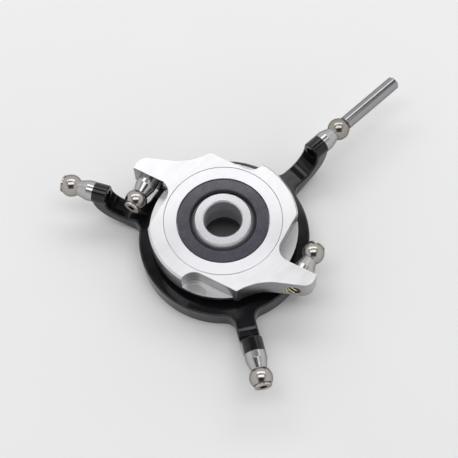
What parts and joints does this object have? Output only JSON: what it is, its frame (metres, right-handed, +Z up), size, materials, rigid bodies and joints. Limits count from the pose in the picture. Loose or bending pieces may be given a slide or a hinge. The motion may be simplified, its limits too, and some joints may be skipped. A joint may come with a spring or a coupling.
{
  "type": "helicopter swashplate",
  "caption": "Model-helicopter swashplate: black lower plate with cranked arms, link balls and guide pin, silver spinning upper plate, and a tilting ball that slides on the mast.",
  "frame": {"origin": "centre of the tilting ball, on the mast axis, in the plane of every link ball", "axes": "+Z up along the mast, +X out along the guide pin"},
  "size_m": [0.0715, 0.0646, 0.0132],
  "materials": {
    "black_anodised": "black anodised, satin",
    "sleeve_anodised": "dark grey anodised, matte",
    "socket_polymer": "moulded",
    "race_steel": "ground and polished",
    "shield_steel": "pressed",
    "cage_polymer": "moulded",
    "link_steel": "turned and polished",
    "pin_steel": "ground",
    "silver_aluminium": "milled, silver anodised",
    "cover_aluminium": "turned, silver anodised",
    "insert_brass": "threaded",
    "liner_polymer": "thin sheet",
    "ball_steel": "turned and polished"
  },
  "bodies": {
    "lower": {"lower_plate": "black_anodised", "hub_sleeve": "sleeve_anodised", "ball_socket_upper": "socket_polymer", "ball_socket_lower": "socket_polymer", "socket_lock_ring": "sleeve_anodised", "bearing_inner_race": "race_steel", "link_ball_left": "link_steel", "link_ball_front": "link_steel", "guide_ball_stud": "link_steel", "guide_pin": "pin_steel"},
    "upper": {"upper_plate": "silver_aluminium", "cover_ring": "cover_aluminium", "bearing_outer_race": "race_steel", "bearing_shield_upper": "shield_steel", "bearing_shield_lower": "shield_steel", "upper_link_ball_a": "link_steel", "upper_link_ball_b": "link_steel", "thread_insert_a": "insert_brass", "thread_insert_b": "insert_brass"},
    "cage": {"bearing_cage": "cage_polymer", "bearing_balls": "race_steel"},
    "liner": {"uniball_liner": "liner_polymer"},
    "ball": {"uniball": "ball_steel"}
  },
  "joints": [
    {"name": "upper_spin", "type": "hinge", "parent": "lower", "child": "upper", "pos_m": [0, 0, 0], "axis": [0, 0, 1], "continuous": true},
    {"name": "cage_spin", "type": "hinge", "parent": "lower", "child": "cage", "pos_m": [0, 0, 0], "axis": [0, 0, 1], "continuous": true},
    {"name": "liner_tilt", "type": "hinge", "parent": "lower", "child": "liner", "pos_m": [0, 0, 0], "axis": [1, 0, 0], "range_deg": [-12, 12]},
    {"name": "ball_tilt", "type": "hinge", "parent": "liner", "child": "ball", "pos_m": [0, 0, 0], "axis": [0, 1, 0], "range_deg": [-12, 12]}
  ],
  "couplings": [
    {"joint": "cage_spin", "follows": "upper_spin", "ratio": 0.5465}
  ]
}
